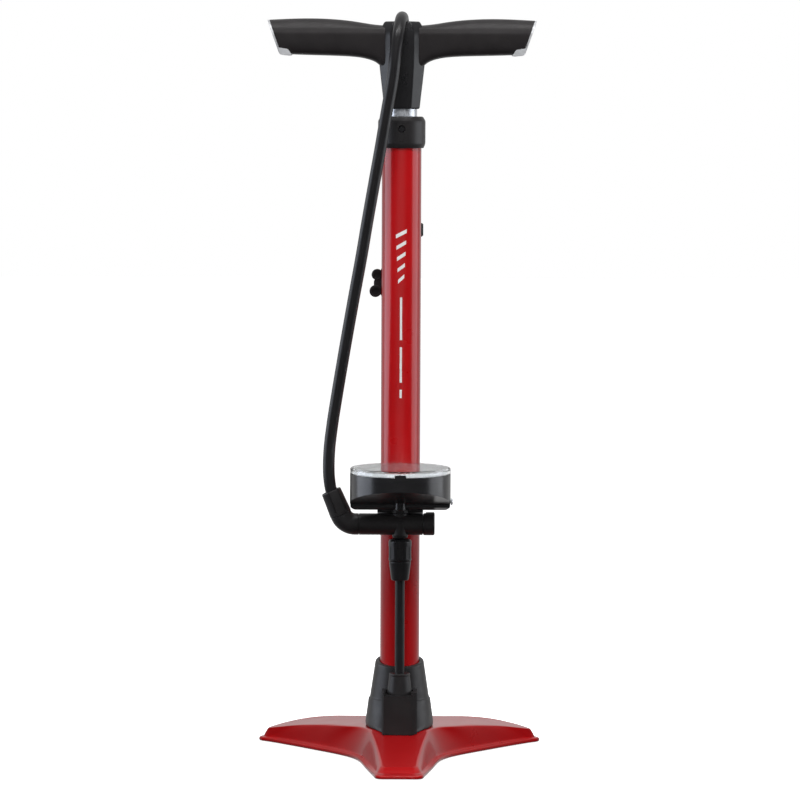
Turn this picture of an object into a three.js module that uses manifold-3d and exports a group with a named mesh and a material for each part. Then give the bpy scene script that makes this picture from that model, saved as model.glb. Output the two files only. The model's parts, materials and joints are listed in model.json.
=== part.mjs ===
// A floor-standing bicycle pump: pressed-steel foot, red barrel, gauge and valve body in front of it,
// T handle on the piston rod, and a hose that is stored over the handle with its head parked behind the barrel.
// Millimetres, +Z up, the gauge faces -Y.
import * as THREE from 'three';
import { mergeVertices } from 'three/addons/utils/BufferGeometryUtils.js';
import { ConvexGeometry } from 'three/addons/geometries/ConvexGeometry.js';
import Module from 'manifold-3d';

const wasm = await Module();
wasm.setup();

// ---- Driving dimensions. The barrel's axis is X = Y = 0 until the last lines move the whole object. ----

const FRAME_Y = 24.05; // brings the object's box to the middle of the frame
const GAP = 0.3; // between pieces that touch
const ROUND = 24; // sides of a large turned piece
const MEDIUM = 16; // of a nut or a fitting
const SMALL = 12; // of a screw or a small bore

const FLOOR_Z = -3.4; // heights below are measured from 3.4 mm above the floor
const DECK_Z = 22.4; // top of the foot's deck
const LIP = { bottom: FLOOR_Z + 1, top: FLOOR_Z + 4.2 }; // rolled edge of the foot
const SHEET = 2.2; // thickness of the pressed foot

const BARREL = { r: 16.7, bore: 15.3, bottom: 34.6, top: 534 };
const ROD = { r: 12.8, bore: 11.2, bottom: 64, top: 572 };
const PISTON = { r: 14.9, bottom: 49, top: 63.6, groove: 4.4 };
const CAP = { bottom: 513.4, top: 540, r: 20 };
const HUB = { bottom: 546.3, top: 619.7 };

const BOOT = { bottom: DECK_Z + GAP, top: 80.3, cavity: 38 };
const PLUG = { r: 25, bottom: DECK_Z + GAP, flange: 33, spigot: 46 };
const AIR = { y: -29, z: 197.4, r: 9.1 }; // axis of the valve body in front of the barrel
const GAUGE = { y: -60, r: 42, bottom: 211.7, top: 243.4, wall: 2.2 };
const HEAD = { y: 30, bottom: 420, shoulder: 450, top: 470, port: 443.5 };
const HOSE_R = 5;
const SHORT_HOSE_R = 4;

// The stored hose: out of its nut beside the gauge, up past the hub, over the handle's middle, down behind.
const HOSE_ROUTE = [
  [-57.6, -29, 223.6], [-59, -29, 229.5], [-60.2, -29, 241], [-59.8, -29.2, 260], [-57.4, -30, 281],
  [-54.2, -31, 302], [-47.6, -33, 342], [-40.5, -35.5, 383], [-33.3, -38, 423], [-28.3, -39.8, 453],
  [-22.9, -41.5, 484], [-17.6, -42.4, 514], [-12.6, -42.7, 544], [-7.8, -42.4, 572], [-5.6, -40.4, 591],
  [-3.4, -33, 607.5], [-1.4, -18.5, 619.3], [0, 0, 623.2], [0.8, 18.5, 619.3], [1, 33, 607.5],
  [1, 40.4, 591], [1, 42.2, 572], [0.8, 40.6, 548], [0.4, 36.4, 522], [0.1, 32, 497], [0, 30.2, 482], [0, 30, 470.6],
];

// ---- Materials ----

const finish = (color, roughness, metalness = 0) =>
  new THREE.MeshStandardMaterial({ color, roughness, metalness });
const RED = finish(0xb01c22, 0.28);
const BLACK = finish(0x1d1c1e, 0.45);
const RUBBER = finish(0x161616, 0.75);
const STEEL = finish(0xc9ccd0, 0.22, 1);
const ALUMINIUM = finish(0xb9bcc0, 0.4, 1);
const BRASS = finish(0xb28a45, 0.35, 1);
const WHITE = finish(0xe8e8ea, 0.5);
const ORANGE = finish(0xd0402a, 0.5);
const CLEAR = finish(0xdfe6ea, 0.06);

const pump = new THREE.Group();

function piece(name, shape, material) {
  const geometry = shape.isBufferGeometry ? fromSolid(solid(shape)) : fromSolid(shape);
  const mesh = new THREE.Mesh(geometry, material);
  mesh.name = name;
  pump.add(mesh);
}

// ---- From three.js shapes to solids and back ----

function solid(geometry) {
  const bare = geometry.clone();
  bare.deleteAttribute('normal');
  bare.deleteAttribute('uv');
  const merged = mergeVertices(bare, 1e-4);
  const place = merged.attributes.position;
  const corner = (i) => new THREE.Vector3().fromBufferAttribute(place, i);
  const triangles = [];
  let volume = 0;
  for (let i = 0; i < merged.index.count; i += 3) {
    const [a, b, c] = [0, 1, 2].map((k) => merged.index.getX(i + k));
    if (a === b || b === c || c === a) continue;
    triangles.push([a, b, c]);
    volume += corner(a).dot(corner(b).cross(corner(c)));
  }
  const facingOut = triangles.map(([a, b, c]) => (volume < 0 ? [a, c, b] : [a, b, c]));
  return new wasm.Manifold(new wasm.Mesh({
    numProp: 3,
    vertProperties: new Float32Array(place.array),
    triVerts: new Uint32Array(facingOut.flat()),
  }));
}

function fromSolid(body) {
  const mesh = body.getMesh();
  const geometry = new THREE.BufferGeometry();
  geometry.setAttribute('position', new THREE.BufferAttribute(new Float32Array(mesh.vertProperties), 3));
  geometry.setIndex(new THREE.BufferAttribute(new Uint32Array(mesh.triVerts), 1));
  geometry.computeVertexNormals();
  return geometry;
}

const join = (...shapes) => shapes.map(asSolid).reduce((whole, part) => whole.add(part));
const cut = (shape, ...tools) => tools.map(asSolid).reduce((rest, tool) => rest.subtract(tool), asSolid(shape));
const common = (...shapes) => shapes.map(asSolid).reduce((whole, part) => whole.intersect(part));
const asSolid = (shape) => (shape.isBufferGeometry ? solid(shape) : shape);

// ---- Shapes ----

// A profile of [radius, height] turned about +Z, or about +X or +Y when axis says so.
function turned(profile, { x = 0, y = 0, z = 0, axis = 'z', sides = ROUND } = {}) {
  const geometry = new THREE.LatheGeometry(profile.map(([r, h]) => new THREE.Vector2(r, h)), sides);
  if (axis === 'z') geometry.rotateX(Math.PI / 2);
  if (axis === 'x') geometry.rotateZ(-Math.PI / 2);
  return geometry.translate(x, y, z);
}

const rod = (r, from, to, place) => turned([[0, from], [r, from], [r, to], [0, to]], place);
const ring = (inner, outer, from, to, place) =>
  turned([[inner, from], [outer, from], [outer, to], [inner, to], [inner, from]], place);

function block([x0, x1], [y0, y1], [z0, z1]) {
  return new THREE.BoxGeometry(x1 - x0, y1 - y0, z1 - z0)
    .translate((x0 + x1) / 2, (y0 + y1) / 2, (z0 + z1) / 2);
}

const hull = (points) => new ConvexGeometry(points.map(([x, y, z]) => new THREE.Vector3(x, y, z)));

function prism(outline, from, to) {
  const shape = new THREE.Shape(outline.map(([x, y]) => new THREE.Vector2(x, y)));
  return new THREE.ExtrudeGeometry(shape, { depth: to - from, bevelEnabled: false }).translate(0, 0, from);
}

function tube(route, r, sides, steps) {
  const section = Array.from({ length: sides }, (_, i) => {
    const turn = (i / sides) * 2 * Math.PI;
    return new THREE.Vector2(r * Math.cos(turn), r * Math.sin(turn));
  });
  const path = new THREE.CatmullRomCurve3(route.map(([x, y, z]) => new THREE.Vector3(x, y, z)));
  return new THREE.ExtrudeGeometry(new THREE.Shape(section), { steps, extrudePath: path });
}

// A convex outline moved outwards by a distance, or inwards by a negative one.
function grown(outline, distance) {
  const middle = outline.reduce(([x, y], p) => [x + p[0] / outline.length, y + p[1] / outline.length], [0, 0]);
  return outline.map(([x, y, ...rest]) => {
    const [dx, dy] = [x - middle[0], y - middle[1]];
    const stretch = 1 + distance / Math.hypot(dx, dy);
    return [middle[0] + dx * stretch, middle[1] + dy * stretch, ...rest];
  });
}

const mirrored = (points) => points.map(([x, ...rest]) => [-x, ...rest]);
const bothSides = (half) => [...half, ...mirrored(half).reverse()];

// ---- Foot: a pressed plate with two swept wings and a front toe, three rubber pads, three screws ----

function foot() {
  const wing = [
    [12, -16, DECK_Z], [-30, -14, DECK_Z], [-46, -2, 21], [-85, 38, 15], [-111.5, 57, 9.3],
    [-115, 61.5, 8.8], [-102.5, 70, 11.4], [-82, 69, 16.2], [-60, 59, 20], [-41, 49, 21.9], [12, 46, 21.9],
  ];
  const toe = [[-24, -28, DECK_Z], [24, -28, DECK_Z], [14, -112, 5.2], [-14, -112, 5.2]];
  const deck = [[-30, -14, DECK_Z], [30, -14, DECK_Z], [24, -28, DECK_Z], [-24, -28, DECK_Z]];
  const raised = (inset, floor) => join(...[wing, mirrored(wing), toe, deck].map((top) => {
    const crown = grown(top, -inset).map(([x, y, z]) => [x, y, z - inset]);
    const skirt = grown(top, 7 - inset).map(([x, y]) => [x, y, floor]);
    return hull([...crown, ...skirt]);
  }));
  const edge = bothSides([
    [-16, -127.6], [-19.5, -124.5], [-28.4, -77], [-33.2, -49], [-36.6, -36], [-43.5, -22],
    [-56.5, -5.5], [-114.5, 54], [-121, 58.8], [-122.3, 62.3], [-120.5, 68], [-106.5, 79.5], [-84, 79], [-60, 69.5],
    [-40, 59.5], [-20, 55],
  ]);
  const lip = prism(edge, LIP.bottom, LIP.top);
  const hollow = raised(SHEET, LIP.bottom - 2);
  const screwHole = (turn) => rod(2, 15, 30, { x: 19.5 * Math.sin(turn), y: 19.5 * Math.cos(turn), sides: SMALL });
  piece('base_plate', cut(join(lip, raised(0, LIP.bottom + 1)), hollow, ...SCREW_TURNS.map(screwHole)), RED);

  // Each pad fills the hollow of its tip and stands 1 mm below the rolled edge.
  const room = raised(SHEET + GAP, LIP.bottom - 2);
  const pad = (x, y) => common(room, block(x, y, [FLOOR_Z, FLOOR_Z + 6]));
  piece('foot_pad_left', pad([-130, -92], [40, 90]), RUBBER);
  piece('foot_pad_right', pad([92, 130], [40, 90]), RUBBER);
  piece('foot_pad_front', pad([-40, 40], [-140, -94]), RUBBER);

  SCREW_TURNS.forEach((turn, i) => {
    const place = { x: 19.5 * Math.sin(turn), y: 19.5 * Math.cos(turn), sides: SMALL };
    const under = DECK_Z - SHEET - 3 * GAP;
    const profile = [[0, under - 2.6], [3.4, under - 2.2], [3.4, under], [1.6, under], [1.6, 30], [0, 30]];
    piece(`base_screw_${i + 1}`, turned(profile, place), STEEL);
  });
}

const SCREW_TURNS = [Math.PI / 3, Math.PI, -Math.PI / 3].map((turn) => turn + Math.PI);

// ---- Barrel foot: plug with the outlet valve, boot over it, short hose up to the valve body ----

function barrelFoot() {
  const outletY = -30;
  const port = block([-7.5, 7.5], [outletY - 7.5, -18], [PLUG.bottom, BOOT.cavity - 1]);
  const body = join(
    turned([[0, PLUG.bottom], [PLUG.r, PLUG.bottom], [PLUG.r, PLUG.flange], [15, PLUG.flange],
      [15, PLUG.spigot], [0, PLUG.spigot]]),
    port,
  );
  const screwHoles = SCREW_TURNS.map((turn) =>
    rod(1.85, PLUG.bottom - 1, 30.6, { x: 19.5 * Math.sin(turn), y: 19.5 * Math.cos(turn), sides: SMALL }));
  piece('foot_plug', cut(
    body,
    rod(6, 29, PLUG.spigot + 1, { sides: SMALL }),
    rod(1.8, outletY, 0, { z: 31, axis: 'y', sides: SMALL }),
    rod(1.8, 31, BOOT.cavity, { y: outletY, sides: SMALL }),
    ...screwHoles,
  ), ALUMINIUM);
  piece('barrel_gasket', ring(BARREL.bore, BARREL.r, PLUG.flange + GAP, BARREL.bottom - GAP), RUBBER);
  piece('valve_seat', ring(2, 5.7, 43, PLUG.spigot, { sides: SMALL }), BRASS);
  piece('valve_poppet', turned([[0, 36], [1.5, 36], [1.5, 41.2], [3.6, 41.6], [3.6, 42.7], [0, 42.7]],
    { sides: SMALL }), BRASS);
  piece('valve_spring', coil({ r: 3.4, wire: 0.45, turns: 4, from: 29.8, to: 40.7 }), STEEL);

  const cone = turned([
    [0, BOOT.bottom], [28.6, BOOT.bottom], [29, 25], [26.2, 45.6], [25, 46.8], [20.6, 78.6], [19.8, BOOT.top],
    [0, BOOT.top],
  ]);
  const pocket = bothSides([[-11.5, -48], [-14.8, -43.5], [-14.8, -10]]);
  const frontBox = cut(
    prism(pocket, BOOT.bottom, 56),
    turned([[0, 53], [11.2, 53], [12, 59], [0, 59]], { y: AIR.y }),
    block([-12.6, 12.6], [-60, AIR.y], [53, 60]),
  );
  const collar = turned([[0, 40], [10.8, 40], [10.5, 54], [8.8, 70], [8.1, 71], [0, 71]], { y: AIR.y });
  const slope = new THREE.BoxGeometry(80, 120, 40).rotateX(0.16).translate(0, 0, BOOT.top + 17.6);
  piece('base_boot', cut(
    join(cut(cone, slope), frontBox, collar),
    rod(PLUG.r + 0.5, 0, BOOT.cavity),
    rod(BARREL.r + GAP, 30, 100),
    block([-8, 8], [-39, -10], [0, BOOT.cavity]),
    rod(SHORT_HOSE_R + 0.4, 30, 80, { y: outletY, sides: SMALL }),
  ), BLACK);

  const shortRoute = [[0, outletY, BOOT.cavity - 0.7], [0, outletY, 60], [0, -29.6, 110], [0, AIR.y, 150],
    [0, AIR.y, 183]];
  piece('short_hose', tube(shortRoute, SHORT_HOSE_R, 12, 10), RUBBER);
  const inside = SHORT_HOSE_R + 0.4;
  piece('lower_sleeve', turned([[inside, 150], [7.4, 150], [9.2, 165], [9.2, 166.2], [inside, 166.2],
    [inside, 150]], { y: AIR.y, sides: MEDIUM }), BLACK);
  piece('lower_nut', turned([[inside, 166.5], [9.7, 166.5], [9.7, 183.2], [8.6, 184.6], [6.4, 185.2],
    [inside, 185.2], [inside, 166.5]], { y: AIR.y, sides: MEDIUM }), BLACK);
}

// A compression spring about +Z.
function coil({ r, wire, turns, from, to }) {
  const perTurn = 8;
  const route = Array.from({ length: turns * perTurn + 1 }, (_, i) => {
    const turn = (i / perTurn) * 2 * Math.PI;
    return [r * Math.cos(turn), r * Math.sin(turn), from + ((to - from) * i) / (turns * perTurn)];
  });
  return tube(route, wire, 5, turns * perTurn);
}

// ---- Barrel, its top cap and the seals inside ----

function barrel() {
  const screwZ = 529.6;
  const screwHole = rod(2.2, -25, -10, { z: screwZ, axis: 'y', sides: SMALL });
  piece('barrel_tube', cut(ring(BARREL.bore, BARREL.r, BARREL.bottom, BARREL.top), screwHole), RED);
  const rodHole = ROD.r + 0.3;
  piece('top_cap', cut(turned([
    [BARREL.r + GAP, CAP.bottom], [18.2, CAP.bottom], [CAP.r, 517.4], [CAP.r, 536.5], [17.9, CAP.top],
    [rodHole, CAP.top], [rodHole, 537.6], [15.4, 537.6], [15.4, BARREL.top + GAP],
    [BARREL.r + GAP, BARREL.top + GAP], [BARREL.r + GAP, CAP.bottom],
  ]), screwHole, rod(2.9, -25, -CAP.r + 2, { z: screwZ, axis: 'y', sides: SMALL })), BLACK);
  const head = -CAP.r + 0.2;
  const headProfile = [[0, head], [2.5, head], [2.5, head + 1.5], [1.9, head + 1.5], [1.9, -15.6], [0, -15.6]];
  piece('cap_screw', turned(headProfile, { z: screwZ, axis: 'y', sides: SMALL }), STEEL);
  piece('rod_bushing', ring(ROD.r + 0.15, 15.05, 512, BARREL.top - GAP), WHITE);
  piece('rod_wiper', ring(ROD.r + 0.15, 15.1, BARREL.top + 2 * GAP, 537.3), RUBBER);

  // Saddle brazed behind the barrel; the head's holder is screwed to it.
  const back = prism([[0, 0], [-12.5, 30], [12.5, 30]], 388, 484);
  piece('holder_saddle', cut(
    common(ring(BARREL.r + GAP, BARREL.r + 1.5, 388, 484), back),
    ...HOLDER_SCREWS.map((z) => rod(1.8, 10, 30, { z, axis: 'y', sides: SMALL })),
  ), RED);
}

const HOLDER_SCREWS = [402, 478];

// ---- Valve body in front of the barrel, with the selector at its right end and the hose at its left ----

function valveBody() {
  const place = { y: AIR.y, z: AIR.z, axis: 'x', sides: MEDIUM };
  const collarTop = GAUGE.bottom - GAP;
  const bracket = cut(
    join(ring(BARREL.r + GAP, 19.4, 196, collarTop), block([-19.3, 19.3], [-27, -10], [207.2, collarTop]),
      block([-5.5, 5.5], [17.8, 26], [199, 211])),
    rod(BARREL.r + GAP, 190, 220),
    block([-1, 1], [16, 27], [190, 220]),
    rod(7.6, 190, 220, { y: AIR.y }),
    rod(1.9, -7, 7, { y: 22.3, z: 205, axis: 'x', sides: SMALL }),
    rod(2, 200, 220, { x: 14, y: -22.5, sides: SMALL }),
  );
  piece('gauge_bracket', bracket, BLACK);
  const clampScrew = turned([[0, -6.5], [1.6, -6.5], [1.6, 5.8], [3, 5.8], [3, 8], [0, 8]],
    { y: 22.3, z: 205, axis: 'x', sides: SMALL });
  piece('bracket_screw', clampScrew, STEEL);

  piece('manifold_body', cut(
    join(rod(AIR.r, -34.7, 19, place), turned([[0, 186], [6.2, 186], [7.2, 190], [0, 190]], { y: AIR.y, sides: MEDIUM })),
    rod(3.2, -36, 15, place),
    rod(4.6, 14, 20, place),
    rod(4.3, AIR.z + 2, 210, { y: AIR.y, sides: SMALL }),
    rod(2, 180, AIR.z, { y: AIR.y, sides: SMALL }),
  ), BLACK);
  const hex = new THREE.CylinderGeometry(6.9, 6.9, 4.6, 6).rotateX(Math.PI / 2).rotateZ(Math.PI / 6)
    .translate(0, AIR.y, 209.1);
  piece('gauge_post', cut(
    join(hex, rod(4, AIR.z + 2.4, 220, { y: AIR.y, sides: SMALL })),
    rod(1.5, AIR.z, 222, { y: AIR.y, sides: SMALL }),
  ), BLACK);

  piece('selector_stem', rod(2.9, 4, 26.5, { ...place, sides: SMALL }), BRASS);
  piece('selector_oring', ring(3.1, 4.4, 15.4, 17.2, { ...place, sides: SMALL }), RUBBER);
  const knobProfile = [[0, 19.3], [8.9, 19.3], [9.4, 20.3], [9.4, 28.3], [8.6, 29.1], [0, 29.1]];
  piece('selector_knob', cut(
    join(turned(knobProfile, place), block([21.4, 29.1], [AIR.y - 4.5, AIR.y + 4.5], [AIR.z, AIR.z + 10])),
    rod(3.1, 19, 26.8, { ...place, sides: SMALL }),
    rod(1.5, 20, 30, { ...place, sides: SMALL }),
  ), BLACK);

  // The elbow turns from the left end of the body to the leaning nut that holds the hose.
  const lean = THREE.MathUtils.degToRad(23);
  const bend = 12.6;
  const start = -35;
  const arc = (turn) => [start - 3.1 - bend * Math.sin(turn), AIR.y, AIR.z + bend * (1 - Math.cos(turn))];
  const turns = [0, 0.25, 0.5, 0.75, 1].map((part) => part * (Math.PI / 2 - lean));
  const [arcX, , arcZ] = arc(turns.at(-1));
  const past = (distance) => [arcX - distance * Math.sin(lean), AIR.y, arcZ + distance * Math.cos(lean)];
  const onNut = (shape, [x, y, z]) => shape.rotateY(-lean).translate(x, y, z);
  piece('hose_elbow', cut(
    tube([[start, AIR.y, AIR.z], ...turns.map(arc), past(2)], AIR.r, MEDIUM, 9),
    onNut(rod(AIR.r + 4, 0, 10), past(0.5)),
  ), BLACK);
  const nutProfile = [[HOSE_R + 1.2, 21.6], [7.9, 21.6], [8.4, 21], [9.3, GAP], [0, GAP], [0, 17.6],
    [HOSE_R + 0.3, 17.6], [HOSE_R + 1.2, 21.6]];
  piece('elbow_nut', onNut(turned(nutProfile, { sides: MEDIUM }), past(0.5)), BLACK);
}

// ---- Gauge: a drum with a slanted underside, a dial, a needle on its movement, and a clear lens ----

function gauge() {
  const centre = { y: GAUGE.y };
  const slant = 0.323; // rise of the underside towards the front
  const slantStart = -41;
  const below = (lift) => hull([-60, 60].flatMap((x) => [
    [x, slantStart, GAUGE.bottom + lift], [x, -120, GAUGE.bottom + lift + slant * (slantStart + 120)],
    [x, slantStart, 150], [x, -120, 150],
  ]));
  const inner = GAUGE.r - GAUGE.wall;
  const drum = cut(
    turned([[0, GAUGE.bottom], [GAUGE.r - 2, GAUGE.bottom], [GAUGE.r, GAUGE.bottom + 2.5], [GAUGE.r, GAUGE.top],
      [0, GAUGE.top]], centre),
    below(0),
  );
  const cavity = cut(rod(inner, GAUGE.bottom + 2.4, GAUGE.top + 1, centre), below(2.4));
  const ledge = common(ring(36.8, inner + 0.5, 238.1, 241, centre), cut(rod(GAUGE.r - 1, 230, 242, centre), below(0)));
  const tab = block([-4.6, 4.6], [-GAUGE.r + GAUGE.y - 0.2, -GAUGE.r + GAUGE.y + 2], [240, GAUGE.top + 2.2]);
  piece('gauge_housing', cut(
    join(cut(drum, cavity), ledge, tab),
    rod(4.3, 200, 217, { y: AIR.y, sides: SMALL }),
    rod(1.7, 38, 46, { y: GAUGE.y, z: 219.9, axis: 'x', sides: SMALL }),
  ), BLACK);
  const sideScrew = turned([[0, 38.6], [1.4, 38.6], [1.4, 42.3], [3, 42.3], [2.6, 43.7], [0, 44]],
    { y: GAUGE.y, z: 219.9, axis: 'x', sides: SMALL });
  piece('gauge_side_screw', sideScrew, STEEL);

  // Curved pressure tube from above the post, most of the way round, to the movement's link.
  const coilR = 27;
  const tubeRoute = Array.from({ length: 22 }, (_, i) => {
    const turn = Math.PI / 2 + 0.12 + (i / 21) * 4.4;
    return [coilR * Math.cos(turn), GAUGE.y + coilR * Math.sin(turn), 234.6];
  });
  piece('bourdon_tube', tube(tubeRoute, 2.2, 6, 26), BRASS);
  const works = cut(join(rod(10, 222, 240, centre), block([-4, 4], [GAUGE.y, -36.4], [222, 228])),
    below(2.4 + GAP), rod(1.5, 210, 242, { ...centre, sides: SMALL }));
  piece('gauge_movement', works, BRASS);
  piece('gauge_dial', ring(1.9, 39.4, 241.3, 242.1, centre), WHITE);
  const pointer = prism([[-1.6, -8], [1.6, -8], [0.5, 30], [-0.5, 30]], 242.8, 243.6);
  pointer.rotateZ(THREE.MathUtils.degToRad(135)).translate(0, GAUGE.y, 0);
  piece('gauge_needle', join(
    pointer,
    turned([[0, 228], [1.2, 228], [1.2, 242.7], [3, 242.7], [3, 244.2], [0, 244.2]], { ...centre, sides: SMALL }),
  ), ORANGE);
  const lensTop = 248.6;
  const lensBottom = GAUGE.top + GAP;
  const lens = turned([[0, lensTop], [GAUGE.r - 1.6, lensTop], [GAUGE.r, lensTop - 1.2], [GAUGE.r, lensBottom],
    [39.6, lensBottom], [39.6, lensTop - 1.7], [0, lensTop - 1.7]], centre);
  const notch = block([-4.9, 4.9], [-GAUGE.r + GAUGE.y - 1, -GAUGE.r + GAUGE.y + 2.3], [242, GAUGE.top + 2.5]);
  piece('gauge_lens', cut(lens, notch), CLEAR);
}

// ---- Hose and its head, parked in the holder behind the barrel ----

function hoseAndHead() {
  piece('main_hose', tube(HOSE_ROUTE, HOSE_R, 8, 50), RUBBER);

  const place = { y: HEAD.y, sides: MEDIUM };
  const across = { y: HEAD.y, z: HEAD.port, axis: 'x', sides: MEDIUM };
  const lug = (side) => block([-15.3, -6], side < 0 ? [22, 23.6] : [36.4, 38], [438.5, 448.5]);
  piece('head_body', cut(
    join(
      turned([[0, HEAD.bottom], [8, HEAD.bottom], [10, 423], [10, 447], [7.8, HEAD.shoulder], [7.8, 467],
        [6.6, HEAD.top], [0, HEAD.top]], place),
      rod(6.6, 0, 15.4, across), lug(-1), lug(1),
    ),
    rod(5.3, 5.6, 17, across),
    rod(3.4, -2, 8, across),
    rod(2.2, HEAD.port, HEAD.top + 1, { y: HEAD.y, sides: SMALL }),
    rod(1.6, 20, 40, { x: -13, z: HEAD.port, axis: 'y', sides: SMALL }),
  ), BLACK);
  piece('head_grommet', ring(3.4, 5, 6, 15, across), RUBBER);
  piece('head_nut', turned([[3.4, 15.7], [5.9, 15.7], [5.9, 17.4], [4.9, 18.7], [3.4, 18.7], [3.4, 15.7]],
    across), BLACK);
  piece('lever_pin', rod(1.45, 21.8, 38.2, { x: -13, z: HEAD.port, axis: 'y', sides: SMALL }), STEEL);
  const lever = prism([[-15.4, -6], [-11, -6], [-11, 6], [-15.4, 6]], 413, 445.6).translate(0, HEAD.y, 0);
  piece('head_lever', cut(lever, rod(1.65, 20, 40, { x: -13, z: HEAD.port, axis: 'y', sides: SMALL }),
    block([-12.6, -10], [HEAD.y - 4, HEAD.y + 4], [416, 436])), BLACK);

  // Holder: a pad on the saddle, an open clip round the head's neck, and a plate with two sockets for adaptors.
  const seat = BARREL.r + 1.5 + GAP;
  const padBack = 21.2;
  const pad = cut(
    common(ring(seat, 24, 392, 482), prism([[0, 0], [-13, 34], [13, 34]], 392, 482)),
    block([-30, 30], [padBack, 40], [380, 500]),
    block([-30, 30], [19.3, 40], [417, 452]),
  );
  const clip = cut(
    ring(8.1, 10.9, 454, 466, place),
    prism([[0, HEAD.y], [-12, 46], [12, 46]], 450, 470),
  );
  const eyes = [[-20.3, 406, 4.8, 3], [-21.8, 392, 5.1, 3.3]]; // across, height, radius, radius of its socket
  const eyeAt = ([x, z], r, from, to) => rod(r, from, to, { x, z, axis: 'y', sides: MEDIUM });
  const plate = cut(
    join(block([-19.6, -13], [9.6, 12.6], [389, 409.5]), block([-23.4, -17.4], [8.6, 12.6], [395, 403]),
      ...eyes.map((eye) => eyeAt(eye, eye[2], 8.6, 12.6))),
    ...eyes.map((eye) => eyeAt(eye, eye[3], 8, 11.6)),
  );
  const finRoot = common(ring(BARREL.r + 0.6, BARREL.r + 3, 388.5, 411),
    prism([[0, 0], [-40, 20], [-10, 32]], 388.5, 411));
  piece('head_holder', cut(
    join(pad, clip, cut(join(plate, finRoot), rod(BARREL.r + 0.6, 380, 420))),
    common(ring(16, seat, 380, 490), prism([[0, 0], [-13.6, 30], [13.6, 30]], 380, 490)),
    ...HOLDER_SCREWS.map((z) => rod(1.8, 10, 30, { z, axis: 'y', sides: SMALL })),
  ), BLACK);
  HOLDER_SCREWS.forEach((z, i) => {
    const profile = [[0, 17.3], [1.5, 17.3], [1.5, padBack + GAP], [3, padBack + GAP], [2.4, padBack + 2], [0, padBack + 2]];
    piece(`holder_screw_${i + 1}`, turned(profile, { z, axis: 'y', sides: SMALL }), STEEL);
  });
}

// ---- Rod, piston and handle, which slide as one ----

function rodAndPiston() {
  piece('piston_rod', ring(ROD.bore, ROD.r, ROD.bottom, ROD.top), STEEL);
  const [low, high] = [54, 54 + PISTON.groove];
  piece('piston_head', turned([
    [0, PISTON.bottom], [13.6, PISTON.bottom], [PISTON.r, PISTON.bottom + 1.3], [PISTON.r, low], [12.6, low],
    [12.6, high], [PISTON.r, high], [PISTON.r, PISTON.top], [11, PISTON.top], [11, 76], [0, 76],
  ]), BLACK);
  piece('piston_seal', ring(12.8, 15.2, low + GAP, high - GAP), RUBBER);
}

function handle() {
  const eightSided = (r, z) => Array.from({ length: 8 }, (_, i) => {
    const turn = ((i + 0.5) / 8) * 2 * Math.PI;
    return [(r * Math.cos(turn)) / Math.cos(Math.PI / 8), (r * Math.sin(turn)) / Math.cos(Math.PI / 8), z];
  });
  const hubBody = hull([
    ...eightSided(14.9, HUB.bottom), ...eightSided(18.9, 580), ...eightSided(19.6, 608),
    ...eightSided(16, HUB.top),
  ]);
  // Square arms of the hub run into the grips and carry them.
  const arm = block([-78, 78], [-8, 8], [597.4, 613.4]);
  piece('handle_hub', cut(
    join(hubBody, arm),
    tube(HOSE_ROUTE.slice(12, 23), HOSE_R + 0.8, 10, 16),
    rod(ROD.r + 0.15, 540, ROD.top + GAP),
    rod(3.3, 570, 640, { sides: SMALL }),
    rod(6.4, 603.6, 640, { sides: SMALL }),
  ), BLACK);
  const plug = turned([[0, 552], [11, 552], [11, 571.4], [3, 571.4], [0, 571.4]], { sides: MEDIUM });
  piece('rod_plug', cut(plug, rod(2.8, 556, 573, { sides: SMALL })), ALUMINIUM);
  piece('handle_bolt', turned([[0, 557], [2.5, 557], [2.5, 604], [5.4, 604], [5.4, 609.2], [0, 609.2]],
    { sides: SMALL }), STEEL);

  // Grip section at a distance x along the arm: flat front and back faces, a ridged shoulder, a crowned top.
  const section = (x, xTop, low, high) => {
    const at = (y, z) => [x + ((xTop - x) * (z - low)) / (high - low), y, z];
    return [[-11, low], [-14.6, low + 5], [-16, high - 13], [-13.6, high - 6], [-7, high - 0.6]]
      .flatMap(([y, z]) => [at(y, z), at(-y, z)]);
  };
  const hollow = block([-78.4, 78.4], [-8.3, 8.3], [597.1, 613.7]);
  for (const [name, side] of [['left', -1], ['right', 1]]) {
    const to = (points) => points.map(([x, y, z]) => [side * x, y, z]);
    const root = section(20.2, 20.2, 584.8, 616.8);
    const shoulder = section(36, 36, 589.4, 619.2);
    const crown = section(76, 76, 591, 622.4);
    const end = section(101.4, 111.6, 592, 621);
    const grip = join(hull(to([...root, ...shoulder])), hull(to([...shoulder, ...crown])), hull(to([...crown, ...end])));
    piece(`grip_${name}`, cut(grip, hollow, rod(21, 540, 630)), RUBBER);
    const face = section(101.8, 112, 592, 621);
    const outer = section(103.2, 113.4, 592, 621);
    piece(`end_cap_${name}`, hull(to([...face, ...outer])), ALUMINIUM);
  }
}

foot();
barrelFoot();
barrel();
valveBody();
gauge();
hoseAndHead();
rodAndPiston();
handle();

pump.position.set(0, FRAME_Y, -FLOOR_Z);
pump.updateMatrixWorld(true);

export default pump;
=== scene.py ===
"""Floor bike pump: the visual model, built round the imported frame.

Lengths are in millimetres and x and y count from the barrel's axis, unless a comment says otherwise.
"""

import json
from math import cos, pi, radians, sin

import bmesh
import bpy
from mathutils import Matrix, Vector

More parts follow.
